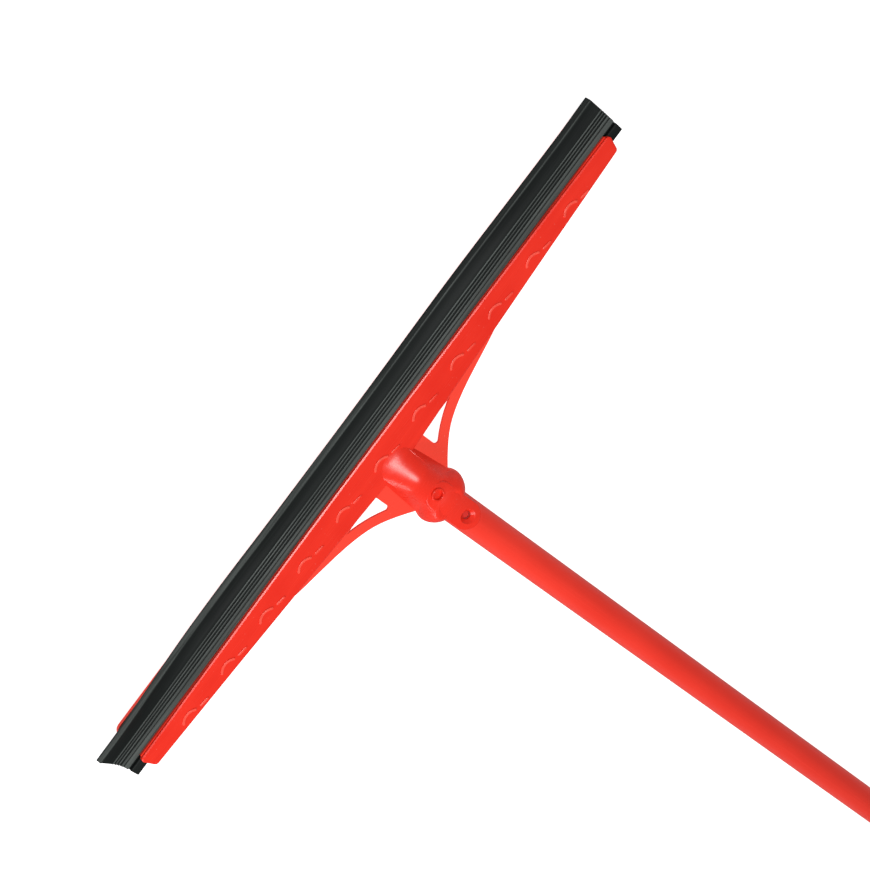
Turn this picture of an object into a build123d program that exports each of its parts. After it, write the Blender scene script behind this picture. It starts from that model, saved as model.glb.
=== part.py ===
from build123d import *
import os

# A long-handled squeegee, lying flat with its embossed front face up.
# X runs along the blade, Y along the pole, away from the blade, and Z out of
# the front face. Lengths are millimetres. The origin is on the surface that
# the squeegee lies on, under the middle of its overall length.

# Driving dimensions
OVERALL_LENGTH = 1300.0  # blade tip to the end of the hanging eye
BLADE_LENGTH = 504.0  # a nominal 500 blade, with the flare of its cut ends
HEAD_LENGTH = 483.0
POLE_RADIUS = 11.25  # outside of the plastic coating
COLLAR_RADIUS = 19.0  # the thick ring round the mouth of the socket
OVERLAP = 1.0  # how far blocks of one moulding run into each other

# The rubber blade, measured from the front rim of the head and the pole axis
BLADE_REACH = 24.2
TIP_FRONT = 0.0
TIP_BACK = -4.8
SHOULDER_Y = -0.6
SHOULDER_FRONT = -0.2
SHOULDER_BACK = -8.0
LIP_HOLLOW = 0.5
NECK_THICKNESS = 3.4
BEAD_CENTRE = (4.9, -4.0)
BEAD_SIZE = (7.0, 7.6)
BEAD_ROUND = 1.2
GROOVE_STATIONS = (-10.6, -8.5, -6.4, -4.1, -2.0)
GROOVE_RADIUS = 0.55
GROOVE_SINK = 0.35

# The head: front plate, channel and rear jaw
SLIDE_CLEARANCE = 0.15
PLATE_FRONT = 3.0
PLATE_BACK = 0.1
PLATE_BEVEL_ACROSS = 0.95
PLATE_BEVEL_DOWN = 0.45
PLATE_CORNER_ROUND = 2.6
PLATE_PEAK_ROUND = 60.0
RIM_MIDDLE = -1.6
RIM_END = 0.4
PLATE_END_WIDTH = 12.6
PLATE_HALFWAY_WIDTH = 18.5
PLATE_MIDDLE_WIDTH = 25.6
END_SLANT = 3.4
CHANNEL_BACK_Y = 11.4
JAW_OUTER = -11.0
JAW_INNER = -8.3
JAW_REACH = 19.7
JAW_LENGTH = 473.0
JAW_CORNER_ROUND = 6.0
CHANNEL_LENGTH = 477.0
NECK_SLOT_LENGTH = 4.0

# The web with its two triangular windows
WEB_THICKNESS = 1.6
WEB_END_X = 112.0
WEB_EDGE = ((112.0, 18.4), (82.0, 25.2), (54.0, 31.9), (40.0, 37.8), (28.6, 45.8), (15.0, 58.0))
WINDOW_INNER_X = 24.4
WINDOW_APEX_X = 54.0
WINDOW_LOW_Y = 24.3
WINDOW_HIGH_Y = 40.0
WINDOW_BELLY = (37.6, 31.2)
WINDOW_ROUND = 2.0

# The socket for the pole. Each nose station gives a distance, a half width and a crown height.
WALL_RADIUS = 13.75
BORE_CLEARANCE = 0.1
BORE_START_Y = 33.0
NOSE_STATIONS = (
    (10.0, 14.7, 2.9),
    (14.0, 14.5, 3.4),
    (18.0, 14.3, 4.8),
    (22.0, 14.1, 6.8),
    (26.0, 14.0, 9.0),
    (30.0, 13.9, 11.1),
    (34.5, 13.8, 13.0),
    (39.0, 13.75, 13.75),
)
NOSE_END_Y = NOSE_STATIONS[-1][0]
COLLAR_START_Y = 50.0
COLLAR_RISE = (57.0, 15.9)
COLLAR_Y = 63.5
COLLAR_FALL = (69.3, 17.2)
COLLAR_END_Y = 71.3
COLLAR_MOUTH_RADIUS = 14.0
COLLAR_FLAT = 15.3
COLLAR_FLAT_ROUND = 3.0
BORE_END_Y = 100.0
SKIRT_STATIONS = (
    (20.0, 12.2, 2.6, 13.9),
    (34.0, 11.8, 6.9, 15.3),
    (48.0, 11.2, 7.9, 16.4),
    (62.0, 10.5, 8.7, 17.4),
)
BOSS_Y = 52.6
BOSS_BASE = 10.0
BOSS_RADIUS = 4.7
BOSS_HOLE_RADIUS = 3.1
BOSS_TOP = 15.4
BOSS_DEPTH = 2.4
BOSS_ROUND = 0.7
BOSS_SEAT = 12.6
BOSS_SEAT_RADIUS = 4.2

# The flat-crowned tongue, which is rounded about a line below the pole's axis
TONGUE_PROFILE = ((46.0, 13.5), (56.0, 15.2), (63.5, 16.5), (72.0, 15.7), (80.0, 15.0), (94.0, 15.0))
TONGUE_DROP = 12.0
TONGUE_HALF_WIDTH = 10.0
TONGUE_EDGE_ROUND = 1.2
SCREW_Y = 82.0
SCREW_RADIUS = 3.0
SINK_RADIUS = 5.8
SINK_ANGLE = 90.0

# The wave relief on the front plate
RELIEF_PITCH = 39.3
RELIEF_START_X = 5.6
RELIEF_COUNT = 11
RELIEF_WIDTH = 1.9
RELIEF_HEIGHT = 0.6
RELIEF_ROUND = 0.5
RELIEF_SINK = 0.2
WAVE_Y = 7.2
WAVE_CLIMB = 0.12
WAVE_POINTS = ((-6.0, 2.8), (-2.0, 0.3), (5.5, 2.4))
DASH_PLACE = (-13.0, 4.6)
DASH_LENGTH = 7.5
DASH_TURN = -10.0

# The back: ribs under the plate and a spine under the socket
RIB_PITCH = 40.0
RIBS_A_SIDE = 5
RIB_HALF_THICKNESS = 1.0
RIB_SETBACK = 3.5
RIB_LIFT = 1.5
SPINE_HALF_THICKNESS = 1.6
SPINE_DEPTH = 13.0
SPINE_TOE_Y = 26.0
SPINE_END_Y = 40.0

# The pole
COATING_THICKNESS = 0.35
TUBE_WALL = 0.7
PLUG_START_Y = 33.6
PLUG_FLANGE = 2.4
PLUG_GRIP = 26.0
PLUG_LENGTH = 60.0
PLUG_STEM_RADIUS = 9.6
PLUG_WALL = 3.0
PLUG_EDGE = 1.0
CAP_START_Y = 1212.0
CAP_RADIUS = 12.6
CAP_CLEARANCE = 0.02
CAP_CROWN_ROUND = 5.0
CAP_EDGE_ROUND = 0.6
CAP_DOME = 4.0
EYE_RADIUS = 9.0
EYE_HOLE_RADIUS = 4.5
EYE_THICKNESS = 6.0
EYE_SINK = 2.0
EYE_ROOT = 3.0

# Derived places: the front rim of the head and the axis of the pole
RIM_Y = BLADE_REACH - OVERALL_LENGTH / 2
AXIS_Z = COLLAR_RADIUS
BORE_RADIUS = POLE_RADIUS + BORE_CLEARANCE
TUBE_RADIUS = POLE_RADIUS - COATING_THICKNESS
TUBE_BORE = TUBE_RADIUS - TUBE_WALL
TUBE_START_Y = PLUG_START_Y + PLUG_FLANGE
EYE_Y = OVERALL_LENGTH - BLADE_REACH - EYE_RADIUS
CAP_END_Y = EYE_Y - EYE_RADIUS + EYE_SINK
TUBE_END_Y = CAP_END_Y - CAP_DOME

# SIDE shows (distance from the rim, height over the axis); TOP shows (x, distance)
SIDE = Plane(origin=(0, RIM_Y, AXIS_Z), x_dir=(0, 1, 0), z_dir=(1, 0, 0))
TOP = Plane(origin=(0, RIM_Y, AXIS_Z), x_dir=(1, 0, 0), z_dir=(0, 0, 1))
POLE_AXIS = Axis((0, RIM_Y, AXIS_Z), (0, 1, 0))
TONGUE_AXIS = Axis((0, RIM_Y, AXIS_Z - TONGUE_DROP), (0, 1, 0))


def across(distance):
    """The plane square to the pole at a distance from the rim; its y is up."""
    origin = (0, RIM_Y + distance, AXIS_Z)
    return Plane(origin=origin, x_dir=(-1, 0, 0), z_dir=(0, 1, 0))


def plate_width(x):
    """Roughly where the upper edge of the front plate is, at a place along it."""
    share = abs(x) / (HEAD_LENGTH / 2)
    return PLATE_MIDDLE_WIDTH + (PLATE_END_WIDTH - PLATE_MIDDLE_WIDTH) * share


# The rubber blade: a thick lip with grooves, a neck and a bead
with BuildPart() as rubber_blade:
    with BuildSketch(SIDE):
        with BuildLine():
            Polyline(
                (SHOULDER_Y, SHOULDER_FRONT),
                (SHOULDER_Y, SHOULDER_BACK),
                (-BLADE_REACH, TIP_BACK),
                (-BLADE_REACH, TIP_FRONT),
            )
            ThreePointArc(
                (-BLADE_REACH, TIP_FRONT),
                (-BLADE_REACH / 2, SHOULDER_FRONT - LIP_HOLLOW),
                (SHOULDER_Y, SHOULDER_FRONT),
            )
        make_face()
        with Locations(*[(y, SHOULDER_FRONT - GROOVE_SINK) for y in GROOVE_STATIONS]):
            Circle(GROOVE_RADIUS, mode=Mode.SUBTRACT)
        with Locations((BEAD_CENTRE[0] - BEAD_SIZE[0] / 2, BEAD_CENTRE[1])):
            Rectangle(2 * (BEAD_CENTRE[0] - BEAD_SIZE[0] / 2 - SHOULDER_Y), NECK_THICKNESS)
        with Locations(BEAD_CENTRE):
            RectangleRounded(*BEAD_SIZE, BEAD_ROUND)
    extrude(amount=BLADE_LENGTH / 2, both=True)
rubber_blade.part.label = "rubber_blade"


# The front plate: widest at the pole, with a slightly bowed rim and rounded ends
with BuildPart() as front_plate:
    half = HEAD_LENGTH / 2
    with BuildSketch(TOP.offset(PLATE_BACK)) as plate_outline:
        with BuildLine():
            ThreePointArc((-half, RIM_END), (0, RIM_MIDDLE), (half, RIM_END))
            for side in (-1, 1):
                Line((side * half, RIM_END), (side * (half - END_SLANT), PLATE_END_WIDTH))
                ThreePointArc(
                    (side * (half - END_SLANT), PLATE_END_WIDTH),
                    (side * half / 2, PLATE_HALFWAY_WIDTH),
                    (0, PLATE_MIDDLE_WIDTH),
                )
        make_face()
        peak = plate_outline.vertices().sort_by(Axis.Y)[-1]
        fillet(peak, PLATE_PEAK_ROUND)
        corners = plate_outline.vertices().sort_by(Axis.X)
        fillet(corners[:2] + corners[-2:], PLATE_CORNER_ROUND)
    extrude(amount=PLATE_FRONT - PLATE_BACK)
    face = front_plate.faces().sort_by(Axis.Z)[-1]
    chamfer(face.edges(), PLATE_BEVEL_ACROSS, PLATE_BEVEL_DOWN, reference=face)

# The relief: along the plate, a raised wave and the dash before it, over and over
with BuildPart() as relief:
    with BuildSketch(TOP.offset(PLATE_FRONT - RELIEF_SINK)):
        for number in range(RELIEF_COUNT):
            x = RELIEF_START_X + RELIEF_PITCH * (number - RELIEF_COUNT // 2)
            y = WAVE_Y + WAVE_CLIMB * (plate_width(x) - PLATE_END_WIDTH)
            with BuildLine() as wave:
                ThreePointArc(*[(x + along, y + up) for along, up in WAVE_POINTS])
            SlotArc(wave.edges()[0], RELIEF_WIDTH)
            with Locations(Location((x + DASH_PLACE[0], y + DASH_PLACE[1]), DASH_TURN)):
                SlotOverall(DASH_LENGTH, RELIEF_WIDTH)
    extrude(amount=RELIEF_HEIGHT + RELIEF_SINK)
    fillet(relief.faces().filter_by(Axis.Z).group_by(Axis.Z)[-1].edges(), RELIEF_ROUND)

# The channel that holds the bead, closed at its back, and the long rear jaw
with BuildPart() as channel:
    with BuildSketch(SIDE):
        low_y = SHOULDER_Y + SLIDE_CLEARANCE
        top = PLATE_BACK + OVERLAP
        with Locations(((low_y + CHANNEL_BACK_Y) / 2, (JAW_OUTER + top) / 2)):
            Rectangle(CHANNEL_BACK_Y - low_y, top - JAW_OUTER)
    extrude(amount=CHANNEL_LENGTH / 2, both=True)
    with BuildSketch(TOP.offset(JAW_OUTER)) as jaw_outline:
        with Locations((0, (CHANNEL_BACK_Y - JAW_REACH) / 2)):
            Rectangle(JAW_LENGTH, CHANNEL_BACK_Y + JAW_REACH)
        fillet(jaw_outline.vertices().group_by(Axis.Y)[0], JAW_CORNER_ROUND)
    extrude(amount=JAW_INNER - JAW_OUTER)
    with BuildSketch(SIDE):
        with Locations(BEAD_CENTRE):
            RectangleRounded(
                BEAD_SIZE[0] + 2 * SLIDE_CLEARANCE,
                BEAD_SIZE[1] + 2 * SLIDE_CLEARANCE,
                BEAD_ROUND,
            )
        with Locations((0, BEAD_CENTRE[1])):
            Rectangle(NECK_SLOT_LENGTH, NECK_THICKNESS + 2 * SLIDE_CLEARANCE)
    extrude(amount=HEAD_LENGTH / 2 + OVERLAP, both=True, mode=Mode.SUBTRACT)

# The thin web on both sides of the socket, with a window in each
with BuildPart() as web:
    with BuildSketch(TOP.offset(-WEB_THICKNESS / 2)) as web_outline:
        with BuildLine():
            edge = Spline(*WEB_EDGE)
            Polyline(
                edge @ 1,
                (0, WEB_EDGE[-1][1]),
                (0, CHANNEL_BACK_Y - OVERLAP),
                (WEB_END_X, CHANNEL_BACK_Y - OVERLAP),
                edge @ 0,
            )
        make_face()
        mirror(about=Plane.YZ)
    extrude(amount=WEB_THICKNESS)
    with BuildSketch(TOP.offset(-WEB_THICKNESS / 2)) as windows:
        with BuildLine():
            Line((WINDOW_INNER_X, WINDOW_LOW_Y), (WINDOW_APEX_X, WINDOW_LOW_Y))
            ThreePointArc(
                (WINDOW_APEX_X, WINDOW_LOW_Y), WINDOW_BELLY, (WINDOW_INNER_X, WINDOW_HIGH_Y)
            )
            Line((WINDOW_INNER_X, WINDOW_HIGH_Y), (WINDOW_INNER_X, WINDOW_LOW_Y))
        make_face()
        fillet(windows.vertices().group_by(Axis.X)[0], WINDOW_ROUND)
        mirror(about=Plane.YZ)
    extrude(amount=WEB_THICKNESS, mode=Mode.SUBTRACT)

# The nose of the socket: an oval that grows out of the plate into the round wall
with BuildPart() as nose:
    for distance, half_width, crown in NOSE_STATIONS:
        with BuildSketch(across(distance)):
            Ellipse(half_width, crown)
    loft()

# The wall of the socket and the thick collar, which is flat on top
with BuildPart() as socket:
    with BuildSketch(SIDE):
        with BuildLine():
            Line((NOSE_END_Y, WALL_RADIUS), (COLLAR_START_Y, WALL_RADIUS))
            Spline(
                (COLLAR_START_Y, WALL_RADIUS),
                COLLAR_RISE,
                (COLLAR_Y, COLLAR_RADIUS),
                COLLAR_FALL,
                (COLLAR_END_Y, COLLAR_MOUTH_RADIUS),
                tangents=((1, 0), (0, -1)),
            )
            Polyline(
                (COLLAR_END_Y, COLLAR_MOUTH_RADIUS),
                (COLLAR_END_Y, 0),
                (NOSE_END_Y, 0),
                (NOSE_END_Y, WALL_RADIUS),
            )
        make_face()
    revolve(axis=POLE_AXIS)
    with BuildSketch(TOP.offset(COLLAR_FLAT)):
        with Locations((0, COLLAR_Y)):
            Rectangle(4 * COLLAR_RADIUS, 2 * COLLAR_RADIUS)
    extrude(amount=COLLAR_RADIUS, mode=Mode.SUBTRACT)
    fillet(socket.faces().sort_by(Axis.Z)[-1].edges(), COLLAR_FLAT_ROUND)

# Sloping skirts that run from the wall of the socket out to the web. Each
# station gives a distance, the crest's x and height, and the foot's x.
with BuildPart() as skirts:
    for distance, crest_x, crest, foot_x in SKIRT_STATIONS:
        with BuildSketch(across(distance)):
            foot = WEB_THICKNESS / 2
            with BuildLine():
                Polyline(
                    (0, crest),
                    (crest_x, crest),
                    (foot_x, foot),
                    (foot_x, -foot),
                    (crest_x, -crest),
                    (0, -crest),
                )
                mirror(about=Plane.YZ)
            make_face()
    loft()

# The tongue that lies on the pole, running out from the top of the socket
with BuildPart() as tongue:
    with BuildSketch(SIDE):
        with BuildLine():
            top = Spline(*TONGUE_PROFILE)
            Polyline(top @ 1, (TONGUE_PROFILE[-1][0], 0), (TONGUE_PROFILE[0][0], 0), top @ 0)
        make_face()
    revolve(axis=TONGUE_AXIS)
    with BuildSketch(TOP):
        start_y = TONGUE_PROFILE[0][0] + TONGUE_HALF_WIDTH
        with Locations((0, (start_y + SCREW_Y) / 2)):
            SlotCenterToCenter(SCREW_Y - start_y, 2 * TONGUE_HALF_WIDTH, rotation=90)
    extrude(amount=2 * COLLAR_RADIUS, mode=Mode.INTERSECT)
    fillet(tongue.faces().sort_by(Axis.Z)[-1].edges(), TONGUE_EDGE_ROUND)

# Ribs behind the front plate and a spine behind the socket
with BuildPart() as ribs:
    rib_front = PLATE_BACK + OVERLAP
    for number in range(1, RIBS_A_SIDE + 1):
        x = number * RIB_PITCH
        with BuildSketch(SIDE.offset(x)):
            with BuildLine():
                Polyline(
                    (CHANNEL_BACK_Y - OVERLAP, rib_front),
                    (plate_width(x) - RIB_SETBACK, rib_front),
                    (CHANNEL_BACK_Y - OVERLAP, JAW_OUTER + RIB_LIFT),
                    close=True,
                )
            make_face()
        extrude(amount=RIB_HALF_THICKNESS, both=True)
    mirror(about=Plane.YZ)
    with BuildSketch(SIDE):
        with BuildLine():
            Polyline(
                (CHANNEL_BACK_Y - OVERLAP, 0),
                (SPINE_END_Y, 0),
                (SPINE_END_Y, -SPINE_DEPTH),
                (SPINE_TOE_Y, -SPINE_DEPTH),
                (CHANNEL_BACK_Y - OVERLAP, JAW_OUTER),
                close=True,
            )
        make_face()
    extrude(amount=SPINE_HALF_THICKNESS, both=True)

# The small round boss on the socket, with a recess in it
with BuildPart() as boss:
    with BuildSketch(TOP.offset(BOSS_BASE)):
        with Locations((0, BOSS_Y)):
            Circle(BOSS_RADIUS)
    extrude(amount=BOSS_TOP - BOSS_BASE)
    with BuildSketch(TOP.offset(BOSS_TOP - BOSS_DEPTH)):
        with Locations((0, BOSS_Y)):
            Circle(BOSS_HOLE_RADIUS)
    extrude(amount=BOSS_DEPTH, mode=Mode.SUBTRACT)
    fillet(boss.faces().sort_by(Axis.Z)[-1].edges(), BOSS_ROUND)

# The head in one moulding
with BuildPart() as head_moulding:
    add(front_plate.part)
    add(relief.part)
    add(channel.part)
    add(web.part)
    add(ribs.part)
    add(nose.part)
    add(socket.part)
    add(skirts.part)
    add(tongue.part)
    with BuildSketch(TOP.offset(BOSS_SEAT)):
        with Locations((0, BOSS_Y)):
            Circle(BOSS_SEAT_RADIUS)
    extrude(amount=COLLAR_RADIUS - BOSS_SEAT, mode=Mode.SUBTRACT)
    add(boss.part)
    with BuildSketch(across(BORE_START_Y)):
        Circle(BORE_RADIUS)
    extrude(amount=BORE_END_Y - BORE_START_Y, mode=Mode.SUBTRACT)
    with Locations(Location(TOP.from_local_coords((0, SCREW_Y, TONGUE_PROFILE[-1][1])))):
        CounterSinkHole(SCREW_RADIUS, SINK_RADIUS, depth=POLE_RADIUS, counter_sink_angle=SINK_ANGLE)
head_moulding.part.label = "head_moulding"

# The pole: a steel tube in a plastic coating, both drilled for the fixing screw
with BuildPart() as pole_tube:
    with BuildSketch(across(TUBE_START_Y)):
        Circle(TUBE_RADIUS)
        Circle(TUBE_BORE, mode=Mode.SUBTRACT)
    extrude(amount=TUBE_END_Y - TUBE_START_Y)
    with Locations(Location(TOP.from_local_coords((0, SCREW_Y, TUBE_RADIUS)))):
        Hole(SCREW_RADIUS, depth=TUBE_RADIUS)
pole_tube.part.label = "pole_tube"

with BuildPart() as pole_coating:
    with BuildSketch(across(TUBE_START_Y)):
        Circle(POLE_RADIUS)
        Circle(TUBE_RADIUS, mode=Mode.SUBTRACT)
    extrude(amount=TUBE_END_Y - TUBE_START_Y)
    with Locations(Location(TOP.from_local_coords((0, SCREW_Y, POLE_RADIUS)))):
        Hole(SCREW_RADIUS, depth=POLE_RADIUS)
pole_coating.part.label = "pole_coating"

# The long plug in the lower end of the tube, with a flange that the tube sits
# on. Its stem runs under the fixing hole, where a screw bites into it.
with BuildPart() as pole_end_plug:
    with BuildSketch(SIDE):
        with BuildLine():
            Polyline(
                (PLUG_START_Y, 0),
                (PLUG_START_Y, TUBE_RADIUS - PLUG_EDGE),
                (PLUG_START_Y + PLUG_EDGE, TUBE_RADIUS),
                (TUBE_START_Y, TUBE_RADIUS),
                (TUBE_START_Y, TUBE_BORE),
                (TUBE_START_Y + PLUG_GRIP, TUBE_BORE),
                (TUBE_START_Y + PLUG_GRIP, PLUG_STEM_RADIUS),
                (TUBE_START_Y + PLUG_LENGTH - PLUG_EDGE, PLUG_STEM_RADIUS),
                (TUBE_START_Y + PLUG_LENGTH, PLUG_STEM_RADIUS - PLUG_EDGE),
                (TUBE_START_Y + PLUG_LENGTH, PLUG_STEM_RADIUS - PLUG_WALL),
                (TUBE_START_Y, PLUG_STEM_RADIUS - PLUG_WALL),
                (TUBE_START_Y, 0),
                close=True,
            )
        make_face()
    revolve(axis=POLE_AXIS)
pole_end_plug.part.label = "pole_end_plug"

# The cap at the top of the pole, with its hanging eye
with BuildPart() as hanging_cap:
    with BuildSketch(SIDE) as cap_profile:
        with Locations(((CAP_START_Y + CAP_END_Y) / 2, CAP_RADIUS / 2)):
            Rectangle(CAP_END_Y - CAP_START_Y, CAP_RADIUS)
        top = cap_profile.vertices().group_by(Axis.Y)[-1].sort_by(Axis.X)
        fillet(top[-1], CAP_CROWN_ROUND)
        fillet(top[0], CAP_EDGE_ROUND)
    revolve(axis=POLE_AXIS)
    with BuildSketch(TOP.offset(-EYE_THICKNESS / 2)):
        with Locations((0, EYE_Y)):
            Circle(EYE_RADIUS)
        root_y = CAP_END_Y - EYE_ROOT
        with Locations((0, (root_y + EYE_Y) / 2)):
            Rectangle(2 * EYE_RADIUS, EYE_Y - root_y)
    extrude(amount=EYE_THICKNESS)
    with BuildSketch(across(CAP_START_Y)):
        Circle(POLE_RADIUS + CAP_CLEARANCE)
    extrude(amount=TUBE_END_Y - CAP_START_Y, mode=Mode.SUBTRACT)
    with Locations(Location(TOP.from_local_coords((0, EYE_Y, EYE_THICKNESS / 2)))):
        Hole(EYE_HOLE_RADIUS, depth=EYE_THICKNESS)
hanging_cap.part.label = "hanging_cap"

os.makedirs("parts", exist_ok=True)
for piece in (rubber_blade, head_moulding, pole_tube, pole_coating, pole_end_plug, hanging_cap):
    export_step(piece.part, f"parts/{piece.part.label}.step")
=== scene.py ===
import math

import bpy
from mathutils import Matrix, Vector


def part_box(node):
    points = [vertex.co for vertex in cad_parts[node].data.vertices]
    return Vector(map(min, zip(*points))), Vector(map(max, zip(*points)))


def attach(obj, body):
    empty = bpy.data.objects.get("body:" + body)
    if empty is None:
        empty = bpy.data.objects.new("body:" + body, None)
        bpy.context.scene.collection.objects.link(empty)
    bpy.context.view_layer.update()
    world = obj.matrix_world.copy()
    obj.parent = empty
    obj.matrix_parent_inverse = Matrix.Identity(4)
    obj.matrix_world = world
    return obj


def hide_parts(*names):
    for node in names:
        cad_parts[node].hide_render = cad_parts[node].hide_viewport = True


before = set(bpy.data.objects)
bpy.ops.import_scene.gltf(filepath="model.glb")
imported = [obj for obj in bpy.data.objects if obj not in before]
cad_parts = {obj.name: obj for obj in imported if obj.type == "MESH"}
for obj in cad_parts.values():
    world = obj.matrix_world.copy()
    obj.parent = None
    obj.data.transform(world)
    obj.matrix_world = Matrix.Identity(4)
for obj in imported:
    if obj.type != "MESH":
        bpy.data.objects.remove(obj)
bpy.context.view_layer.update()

# Places, in metres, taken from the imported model. "Distance" is measured along
# the pole from the front rim of the head, and "height" from the pole's axis.
blade_low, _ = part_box("rubber_blade")
tube_low, tube_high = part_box("pole_tube")
MM = 0.001
BLADE_REACH = 24.2 * MM
RIM_Y = blade_low[1] + BLADE_REACH
AXIS_Z = (tube_low[2] + tube_high[2]) / 2

# The view: a long lens over the blade side of the head, turned so that the
# head runs from lower left to upper right
VIEW_TARGET = Vector((-0.0289, RIM_Y + 0.0333, AXIS_Z))
VIEW_ELEVATION = math.radians(54.0)
VIEW_AZIMUTH = math.radians(-0.43)
VIEW_ROLL = math.radians(127.19)
VIEW_DISTANCE = 1.3355
LENS = 88.24
SENSOR_WIDTH = 36.0

# The rubber blade, in millimetres. Its section is measured from the front rim
# and the pole's axis. A groove is its place, half width and depth.
BLADE_HALF = 250.0
STATION_STEP = 2.0
END_BEVEL = 0.3
END_DRAW_IN = 0.985
SECTION_CENTRE = (-8.0, -3.6)
LIP_START = 4.0
LIP_LENGTH = 20.2
TIP_FRONT = (-22.9, -0.2)
TIP_BACK = (-24.2, -4.6)
SHOULDER_Y = -0.6
SHOULDER_FRONT = -0.3
SHOULDER_BACK = -8.0
GROOVES = ((-4.8, 0.3, 0.2), (-7.5, 0.65, 0.7), (-9.7, 0.65, 0.7), (-11.8, 0.6, 0.7))
LAND_RISE = 0.22
BAND_END = -13.4
LAND_SHARES = (0.15, 0.5, 0.85)
GROOVE_SHARES = (-1.0, -0.7, -0.35, 0.0, 0.35, 0.7, 1.0)
FACE_HOLLOW = 0.45
FACE_STEPS = 11
BACK_STEPS = 8
EDGE_CUT = 0.3
NECK_HALF = 1.7
BEAD_CENTRE = (4.9, -4.0)
BEAD_HALF = (3.5, 3.8)
BEAD_ROUND = 1.2
SHARP_ANGLE = 38.0

# How the lip bends along the blade: it droops, sags in two places and at one
# end, and curls up at the other end, where its cut end also flares
LIP_DROOP = 1.3
SAGS = ((1.9, -112.0, 65.0), (0.9, 122.0, 34.0), (1.0, -BLADE_HALF, 18.0))
CURL = 5.0
CURL_START, CURL_END = 150.0, 240.0
BEND_POWER = 1.8
CUT_FLARE = 4.4
FLARE_START = 195.0
FLARE_POWER = 1.3

# How strong the painted highlight on the cut tip's edge is: weaker towards -X
DIM_TIP_HIGHLIGHT = 0.25
DIM_TIP_HIGHLIGHT_END, FULL_TIP_HIGHLIGHT_START = -60.0, 20.0

# Heights over the pole's axis, and a distance, that part the head's plastic
THIN_WEB = 1.0 * MM
RELIEF_LOW = 3.15 * MM
RELIEF_END = 14.0 * MM


def make_camera():
    back = Vector((
        math.sin(VIEW_AZIMUTH) * math.cos(VIEW_ELEVATION),
        -math.cos(VIEW_AZIMUTH) * math.cos(VIEW_ELEVATION),
        math.sin(VIEW_ELEVATION),
    ))
    right = (-back).cross(Vector((0, 0, 1))).normalized()
    up = right.cross(-back)
    level = Matrix((right, up, back)).transposed()
    turn = Matrix.Rotation(VIEW_ROLL, 3, "Z")
    camera = bpy.data.objects.new("camera", bpy.data.cameras.new("camera"))
    camera.data.lens = LENS
    camera.data.sensor_width = SENSOR_WIDTH
    place = Matrix.Translation(VIEW_TARGET + back * VIEW_DISTANCE)
    camera.matrix_world = place @ (level @ turn).to_4x4()
    bpy.context.scene.collection.objects.link(camera)
    bpy.context.scene.camera = camera


# Curves used by the rubber blade


def smooth_step(value, start, end):
    share = min(max((value - start) / (end - start), 0.0), 1.0)
    return share * share * (3.0 - 2.0 * share)


def bump_at(x, place, width):
    return math.exp(-(((x - place) / width) ** 2))


def lip_lift(x):
    """How far the tip of the lip bends up at a place along the blade, in mm."""
    sag = sum(depth * bump_at(x, place, width) for depth, place, width in SAGS)
    return CURL * smooth_step(x, CURL_START, CURL_END) - LIP_DROOP - sag


def arc_points(centre, radius, start, end, count):
    """Points on an arc; the angles are in degrees and both ends are included."""
    angles = [math.radians(start + (end - start) * k / (count - 1)) for k in range(count)]
    return [(centre[0] + radius * math.cos(a), centre[1] + radius * math.sin(a)) for a in angles]


def front_height(distance):
    """The front face of the lip: flat in the grooved band, then slightly hollow."""
    if distance > BAND_END:
        return SHOULDER_FRONT
    share = (distance - BAND_END) / (TIP_FRONT[0] - BAND_END)
    straight = SHOULDER_FRONT + (TIP_FRONT[1] - SHOULDER_FRONT) * share
    return straight - FACE_HOLLOW * math.sin(math.pi * share)


def grooved_band():
    """The lands and grooves next to the holder, with how pale each point is: a paler band, with
    painted highlight on the lands, the groove rims and the shoulder.
    """
    edge = SHOULDER_Y - 0.25
    points = [(SHOULDER_Y, SHOULDER_FRONT - 0.3, 0.6), (edge, SHOULDER_FRONT, 0.9)]
    for groove, half_width, depth in GROOVES + ((BAND_END, 0.0, 0.0),):
        land_end = groove + half_width
        for share in LAND_SHARES:
            rise = LAND_RISE * math.sin(math.pi * share)
            points.append((edge + (land_end - edge) * share, SHOULDER_FRONT + rise, 1.0))
        edge = groove - half_width
        for share in GROOVE_SHARES:
            if half_width:
                dip = depth * math.cos(share * math.pi / 2) ** 0.7
                pale = 0.35 if abs(share) == 1.0 else 0.0
                points.append((groove - share * half_width, SHOULDER_FRONT - dip, pale))
    points.append((BAND_END, SHOULDER_FRONT - 0.12, 0.0))
    return points


def tip_and_back():
    """The smooth face, the cut tip and the back face; the tip's edge is painted a little pale, as
    a highlight.
    """
    points = []
    for k in range(1, FACE_STEPS + 1):
        distance = BAND_END + (TIP_FRONT[0] + EDGE_CUT - BAND_END) * k / FACE_STEPS
        points.append((distance, front_height(distance), 0.6 if k == FACE_STEPS else 0.0))
    points.append((TIP_FRONT[0], TIP_FRONT[1] - 0.12, 0.8))
    points.append((TIP_FRONT[0] - 0.12, TIP_FRONT[1] - 0.45, 0.75))
    points.append(((TIP_FRONT[0] + TIP_BACK[0]) / 2 - 0.1, (TIP_FRONT[1] + TIP_BACK[1]) / 2, 0.75))
    points.append((TIP_BACK[0] + 0.02, TIP_BACK[1] + EDGE_CUT, 0.3))
    points.append((TIP_BACK[0] + EDGE_CUT, TIP_BACK[1] - 0.05, 0.0))
    for k in range(1, BACK_STEPS):
        share = k / BACK_STEPS
        distance = TIP_BACK[0] + (SHOULDER_Y - TIP_BACK[0]) * share
        points.append((distance, TIP_BACK[1] + (SHOULDER_BACK - TIP_BACK[1]) * share, 0.0))
    points.append((SHOULDER_Y - 0.4, SHOULDER_BACK, 0.0))
    points.append((SHOULDER_Y, SHOULDER_BACK + 0.4, 0.0))
    return points


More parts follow.
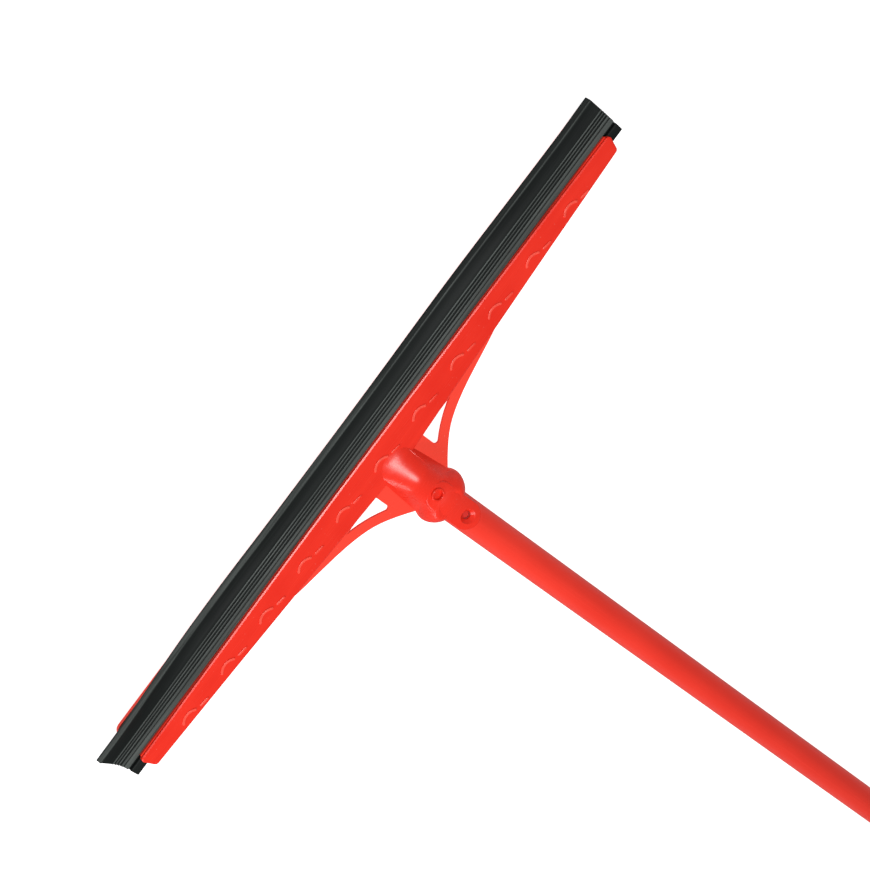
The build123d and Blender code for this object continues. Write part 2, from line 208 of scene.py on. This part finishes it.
def neck_and_bead():
    middle = BEAD_CENTRE[1]
    near, far = BEAD_CENTRE[0] - BEAD_HALF[0], BEAD_CENTRE[0] + BEAD_HALF[0]
    low, high = middle - BEAD_HALF[1], middle + BEAD_HALF[1]
    corner = BEAD_ROUND
    points = [(SHOULDER_Y, middle - NECK_HALF - 0.3), (SHOULDER_Y + 0.3, middle - NECK_HALF)]
    points.append((near, middle - NECK_HALF))
    points += arc_points((near + corner, low + corner), corner, 180, 270, 5)
    points += arc_points((far - corner, low + corner), corner, 270, 360, 5)
    points += arc_points((far - corner, high - corner), corner, 0, 90, 5)
    points += arc_points((near + corner, high - corner), corner, 90, 180, 5)
    points.append((near, middle + NECK_HALF))
    points.append((SHOULDER_Y + 0.3, middle + NECK_HALF))
    points.append((SHOULDER_Y, middle + NECK_HALF + 0.3))
    return [(distance, height, 0.0) for distance, height in points]


def bend_lip(x, distance, height):
    """Where a point of the straight section really lies, with the lip bent."""
    reach = max((-distance - LIP_START) / LIP_LENGTH, 0.0)
    lift = lip_lift(x) * reach ** BEND_POWER
    flare = CUT_FLARE * reach ** FLARE_POWER * smooth_step(x, FLARE_START, BLADE_HALF)
    return x + flare, distance + 0.5 * lift * lift / LIP_LENGTH, height + lift


def make_blade():
    outline = grooved_band() + tip_and_back() + neck_and_bead()
    count = len(outline)
    inner = BLADE_HALF - END_BEVEL
    steps = round(2 * inner / STATION_STEP)
    stations = [-inner + 2 * inner * k / steps for k in range(steps + 1)]
    stations = [-BLADE_HALF] + stations + [BLADE_HALF]
    verts, band = [], []
    for x in stations:
        draw_in = END_DRAW_IN if abs(x) == BLADE_HALF else 1.0
        # The painted highlight on the cut tip fades towards -X
        tip_highlight_share = DIM_TIP_HIGHLIGHT + (1 - DIM_TIP_HIGHLIGHT) * smooth_step(x, DIM_TIP_HIGHLIGHT_END, FULL_TIP_HIGHLIGHT_START)
        for distance, height, pale in outline:
            if distance < TIP_FRONT[0] - 0.1:
                pale *= tip_highlight_share
            distance = SECTION_CENTRE[0] + (distance - SECTION_CENTRE[0]) * draw_in
            height = SECTION_CENTRE[1] + (height - SECTION_CENTRE[1]) * draw_in
            bent = bend_lip(x, distance, height)
            verts.append((bent[0] * MM, RIM_Y + bent[1] * MM, AXIS_Z + bent[2] * MM))
            band.append(pale)
    faces = []
    for row in range(len(stations) - 1):
        for k in range(count):
            a, b = row * count + k, row * count + (k + 1) % count
            faces.append((a, b, b + count, a + count))
    faces.append(tuple(reversed(range(count))))
    last = (len(stations) - 1) * count
    faces.append(tuple(range(last, last + count)))
    mesh = bpy.data.meshes.new("blade_lip_and_bead")
    mesh.from_pydata(verts, [], faces)
    mesh.attributes.new("band", "FLOAT", "POINT").data.foreach_set("value", band)
    mesh.validate()
    mesh.shade_smooth()
    mesh.set_sharp_from_angle(angle=math.radians(SHARP_ANGLE))
    blade = bpy.data.objects.new("blade_rubber_strip", mesh)
    bpy.context.scene.collection.objects.link(blade)
    mesh.materials.append(rubber())
    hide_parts("rubber_blade")
    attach(blade, "blade")


# Materials: pairs of colours are the dark and the pale end of a mottle

RED, PALE_RED = (0.68, 0.020, 0.009), (0.77, 0.030, 0.014)
# Painted glow: the thin web made paler, standing in for light through it
WEB_GLOW_RED = (0.80, 0.052, 0.030)
# Painted highlight on the crests of the relief
RELIEF_HIGHLIGHT_RED = (0.90, 0.14, 0.10)
DUSTY_RED = (0.9, 0.45, 0.38)
POLE_RED, PALE_POLE_RED = (0.66, 0.024, 0.012), (0.74, 0.034, 0.018)
DRAWN_RED = (0.86, 0.05, 0.035)
PLUG_RED, PALE_PLUG_RED = (0.55, 0.014, 0.008), (0.66, 0.02, 0.012)
BLACK, PALE_BLACK = (0.0035, 0.0047, 0.0044), (0.0072, 0.0092, 0.0087)
DRAWN_BLACK = (0.014, 0.018, 0.017)
# A paler grooved band, mixed with painted highlight on its lands, groove rims, shoulder and the
# tip's edge
BAND_PALE_AND_HIGHLIGHT = (0.078, 0.088, 0.083)
STEEL, PALE_STEEL = (0.42, 0.42, 0.43), (0.62, 0.62, 0.63)
WHITE = (1, 1, 1, 1)
PLASTIC_SHEEN = 0.3
RUBBER_SHEEN = 0.13


class Shader:
    """A node material and a few short ways to add to it."""

    def __init__(self, name):
        self.material = bpy.data.materials.new(name)
        self.material.use_nodes = True
        self.tree = self.material.node_tree
        self.bsdf = self.tree.nodes["Principled BSDF"]

    def node(self, kind, **settings):
        node = self.tree.nodes.new(kind)
        for key, value in settings.items():
            setattr(node, key, value)
        return node

    def link(self, source, target):
        self.tree.links.new(source, target)

    def place(self, scale=(1, 1, 1), turn=(0, 0, 0)):
        """Object coordinates in metres, stretched by a scale."""
        where = self.node("ShaderNodeTexCoord").outputs["Object"]
        mapping = self.node("ShaderNodeMapping")
        mapping.inputs["Scale"].default_value = scale
        mapping.inputs["Rotation"].default_value = turn
        self.link(where, mapping.inputs["Vector"])
        return mapping.outputs["Vector"]

    def noise(self, size, detail=3.0, stretch=(1, 1, 1), turn=(0, 0, 0)):
        """Noise with features of about a size in mm, longer where stretch is above 1."""
        texture = self.node("ShaderNodeTexNoise")
        texture.inputs["Scale"].default_value = 1 / (size * MM)
        texture.inputs["Detail"].default_value = detail
        vector = self.place(tuple(1 / part for part in stretch), turn)
        self.link(vector, texture.inputs["Vector"])
        return texture.outputs["Fac"]

    def span(self, source, low, high, to_low=0.0, to_high=1.0):
        """Maps low..high to to_low..to_high and clamps."""
        node = self.node("ShaderNodeMapRange")
        ends = (("From Min", low), ("From Max", high), ("To Min", to_low), ("To Max", to_high))
        for name, value in ends:
            node.inputs[name].default_value = value
        self.link(source, node.inputs["Value"])
        return node.outputs["Result"]

    def coordinate(self, axis):
        """One of the object coordinates, in metres."""
        split = self.node("ShaderNodeSeparateXYZ")
        self.link(self.node("ShaderNodeTexCoord").outputs["Object"], split.inputs["Vector"])
        return split.outputs[axis]

    def maths(self, operation, a, b):
        node = self.node("ShaderNodeMath", operation=operation)
        for socket, value in zip(node.inputs, (a, b)):
            if isinstance(value, (int, float)):
                socket.default_value = value
            else:
                self.link(value, socket)
        return node.outputs[0]

    def mix(self, factor, a, b):
        """A colour between a and b; either may be a colour or a socket."""
        node = self.node("ShaderNodeMix", data_type="RGBA")
        self.link(factor, node.inputs["Factor"])
        for socket, value in ((node.inputs[6], a), (node.inputs[7], b)):
            if isinstance(value, tuple):
                socket.default_value = (*value, 1)
            else:
                self.link(value, socket)
        return node.outputs[2]

    def bump(self, height, depth, strength=1.0, normal=None):
        """Relief of a depth in mm over a height from 0 to 1."""
        node = self.node("ShaderNodeBump")
        node.inputs["Strength"].default_value = strength
        node.inputs["Distance"].default_value = depth * MM
        self.link(height, node.inputs["Height"])
        if normal:
            self.link(normal, node.inputs["Normal"])
        return node.outputs["Normal"]

    def finish(self, colour, roughness, normal):
        self.link(colour, self.bsdf.inputs["Base Color"])
        self.link(roughness, self.bsdf.inputs["Roughness"])
        self.link(normal, self.bsdf.inputs["Normal"])
        return self.material


def head_tones(s, colour):
    """The relief's crests painted paler as a highlight, and the thin web painted paler as a glow
    of light through it.
    """
    height = s.coordinate("Z")
    # Painted highlight on the relief's crests, on the plate only
    relief_highlight = s.span(height, AXIS_Z + RELIEF_LOW, AXIS_Z + RELIEF_LOW + 0.35 * MM, 0, 0.45)
    on_plate = s.span(s.coordinate("Y"), RIM_Y + RELIEF_END, RIM_Y + RELIEF_END - 2 * MM)
    colour = s.mix(s.maths("MULTIPLY", relief_highlight, on_plate), colour, RELIEF_HIGHLIGHT_RED)
    # Painted glow on the thin web
    web_glow = s.span(height, AXIS_Z + THIN_WEB + 0.1 * MM, AXIS_Z + THIN_WEB)
    return s.mix(web_glow, colour, WEB_GLOW_RED)


def moulded_plastic(name, gloss, grain_turn=0.0, tones=None):
    """Glossy moulded plastic with flow marks, an orange-peel skin and fine scratches."""
    s = Shader(name)
    s.bsdf.inputs["Specular IOR Level"].default_value = PLASTIC_SHEEN
    cloud = s.noise(38, 4)
    flow = s.noise(5, 3, (14, 1, 1), (0, 0, grain_turn))
    scratches = s.noise(0.5, 2, (60, 1, 1), (0, 0, grain_turn + 0.35))
    specks = s.noise(1.3, 1)
    tone = s.maths("ADD", s.span(cloud, 0.35, 0.7, 0, 0.55), s.span(flow, 0.4, 0.75, 0, 0.35))
    colour = s.mix(tone, RED, PALE_RED)
    if tones:
        colour = tones(s, colour)
    dust_and_band_highlight = s.span(specks, 0.76, 0.8, 0, 0.25)
    colour = s.mix(dust_and_band_highlight, colour, DUSTY_RED)
    wear = s.span(scratches, 0.62, 0.75, 0, 0.12)
    dull = s.span(cloud, 0.3, 0.75, -0.04, 0.08)
    roughness = s.maths("ADD", s.maths("ADD", wear, dull), gloss)
    peel = s.noise(0.9, 2)
    sink = s.noise(24, 2)
    normal = s.bump(sink, 0.35, 0.6)
    normal = s.bump(peel, 0.03, 0.5, normal)
    normal = s.bump(scratches, 0.01, 0.6, normal)
    return s.finish(colour, roughness, normal)


def coated_pole():
    """The plastic skin of the pole, drawn over the tube, so its marks run along Y."""
    s = Shader("pole_skin")
    s.bsdf.inputs["Specular IOR Level"].default_value = PLASTIC_SHEEN
    cloud = s.noise(60, 4, (1, 2.5, 1))
    drawn = s.noise(1.2, 3, (1, 80, 1))
    scratches = s.noise(0.4, 2, (1, 40, 1), (0, 0, 0.5))
    colour = s.mix(s.span(cloud, 0.3, 0.72), POLE_RED, PALE_POLE_RED)
    colour = s.mix(s.span(drawn, 0.55, 0.8, 0, 0.25), colour, DRAWN_RED)
    wear = s.span(scratches, 0.6, 0.75, 0, 0.15)
    roughness = s.maths("ADD", wear, s.span(cloud, 0.3, 0.75, 0.27, 0.36))
    normal = s.bump(drawn, 0.03, 0.5)
    normal = s.bump(s.noise(1.4, 2), 0.03, 0.5, normal)
    return s.finish(colour, roughness, normal)


def rubber():
    """Extruded black rubber: fine lines along X, a paler grooved band with painted highlight on
    its lands, rims and shoulder and on the tip's edge.
    """
    s = Shader("blade_rubber")
    s.bsdf.inputs["Specular IOR Level"].default_value = RUBBER_SHEEN
    drawn = s.noise(0.7, 3, (90, 1, 1))
    cloud = s.noise(30, 4, (3, 1, 1))
    # The band attribute, streaked: a paler band and painted highlight
    band_pale_and_highlight = s.node("ShaderNodeAttribute", attribute_name="band").outputs["Fac"]
    streaks = s.span(s.noise(1.6, 2, (40, 1, 1)), 0.35, 0.65, 0.5, 1)
    dust_and_band_highlight = s.maths("MULTIPLY", band_pale_and_highlight, streaks)
    colour = s.mix(s.span(cloud, 0.3, 0.7), BLACK, PALE_BLACK)
    colour = s.mix(s.span(drawn, 0.55, 0.8, 0, 0.5), colour, DRAWN_BLACK)
    colour = s.mix(dust_and_band_highlight, colour, BAND_PALE_AND_HIGHLIGHT)
    satin = s.span(cloud, 0.3, 0.7, 0.40, 0.52)
    roughness = s.maths("ADD", satin, s.span(drawn, 0.4, 0.7, 0, 0.06))
    normal = s.bump(drawn, 0.03, 0.5)
    normal = s.bump(s.noise(0.5, 2), 0.012, 0.5, normal)
    return s.finish(colour, roughness, normal)


def drawn_steel():
    """Bare tube steel, with its drawing marks along Y."""
    s = Shader("tube_steel")
    s.bsdf.inputs["Metallic"].default_value = 1.0
    drawn = s.noise(0.5, 3, (1, 120, 1))
    colour = s.mix(s.span(drawn, 0.3, 0.7), STEEL, PALE_STEEL)
    return s.finish(colour, s.span(drawn, 0.3, 0.7, 0.22, 0.42), s.bump(drawn, 0.01, 0.5))


def plug_plastic():
    """Matt moulded plastic."""
    s = Shader("plug_plastic")
    cloud = s.noise(6, 3)
    colour = s.mix(s.span(cloud, 0.3, 0.7), PLUG_RED, PALE_PLUG_RED)
    return s.finish(colour, s.span(cloud, 0.3, 0.7, 0.45, 0.6), s.bump(s.noise(0.4, 2), 0.02, 0.5))


def set_material(node, material):
    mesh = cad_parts[node].data
    mesh.materials.clear()
    mesh.materials.append(material)


# The floor and the lights

FLOOR_REACH = 6.0
FLOOR_GREY = (0.45, 0.45, 0.45, 1)
FLOOR_ROUGHNESS = 0.9
FLOOR_SHEEN = 0.1
FLOOR_GLOW = 0.95
WORLD_GLOW = 0.3
LIGHT_AIM = (0, RIM_Y + 0.05, AXIS_Z)
# Each light's place and size in metres, and its power in watts
LIGHTS = {
    "key": ((0.1, RIM_Y - 0.35, 1.6), (0.5, 0.7), 22),
    "side": ((1.5, RIM_Y + 0.1, 0.7), (1.0, 0.6), 12),
}


def make_floor():
    """A plain pale floor that glows a little, so that it stays white."""
    mesh = bpy.data.meshes.new("floor")
    signs = ((-1, -1), (1, -1), (1, 1), (-1, 1))
    corners = [(a * FLOOR_REACH, b * FLOOR_REACH, 0) for a, b in signs]
    mesh.from_pydata(corners, [], [(0, 1, 2, 3)])
    floor = bpy.data.objects.new("floor", mesh)
    s = Shader("pale_floor")
    s.bsdf.inputs["Base Color"].default_value = FLOOR_GREY
    s.bsdf.inputs["Roughness"].default_value = FLOOR_ROUGHNESS
    s.bsdf.inputs["Specular IOR Level"].default_value = FLOOR_SHEEN
    s.bsdf.inputs["Emission Color"].default_value = WHITE
    s.bsdf.inputs["Emission Strength"].default_value = FLOOR_GLOW
    mesh.materials.append(s.material)
    bpy.context.scene.collection.objects.link(floor)
    floor.visible_glossy = False


def area_light(name, place, size, power):
    data = bpy.data.lights.new(name, "AREA")
    data.shape = "RECTANGLE"
    data.size, data.size_y = size
    data.energy = power
    lamp = bpy.data.objects.new(name, data)
    lamp.location = place
    lamp.rotation_mode = "QUATERNION"
    lamp.rotation_quaternion = (Vector(LIGHT_AIM) - Vector(place)).to_track_quat("-Z", "Y")
    bpy.context.scene.collection.objects.link(lamp)


def light_scene():
    world = bpy.data.worlds.new("studio")
    world.use_nodes = True
    background = world.node_tree.nodes["Background"]
    background.inputs["Color"].default_value = WHITE
    background.inputs["Strength"].default_value = WORLD_GLOW
    bpy.context.scene.world = world
    for name, settings in LIGHTS.items():
        area_light(name, *settings)
    bpy.context.scene.view_settings.view_transform = "Standard"


make_camera()
set_material("head_moulding", moulded_plastic("head_plastic", 0.23, tones=head_tones))
set_material("hanging_cap", moulded_plastic("cap_plastic", 0.3, math.pi / 2))
set_material("pole_coating", coated_pole())
set_material("pole_tube", drawn_steel())
set_material("pole_end_plug", plug_plastic())
make_blade()
make_floor()
light_scene()
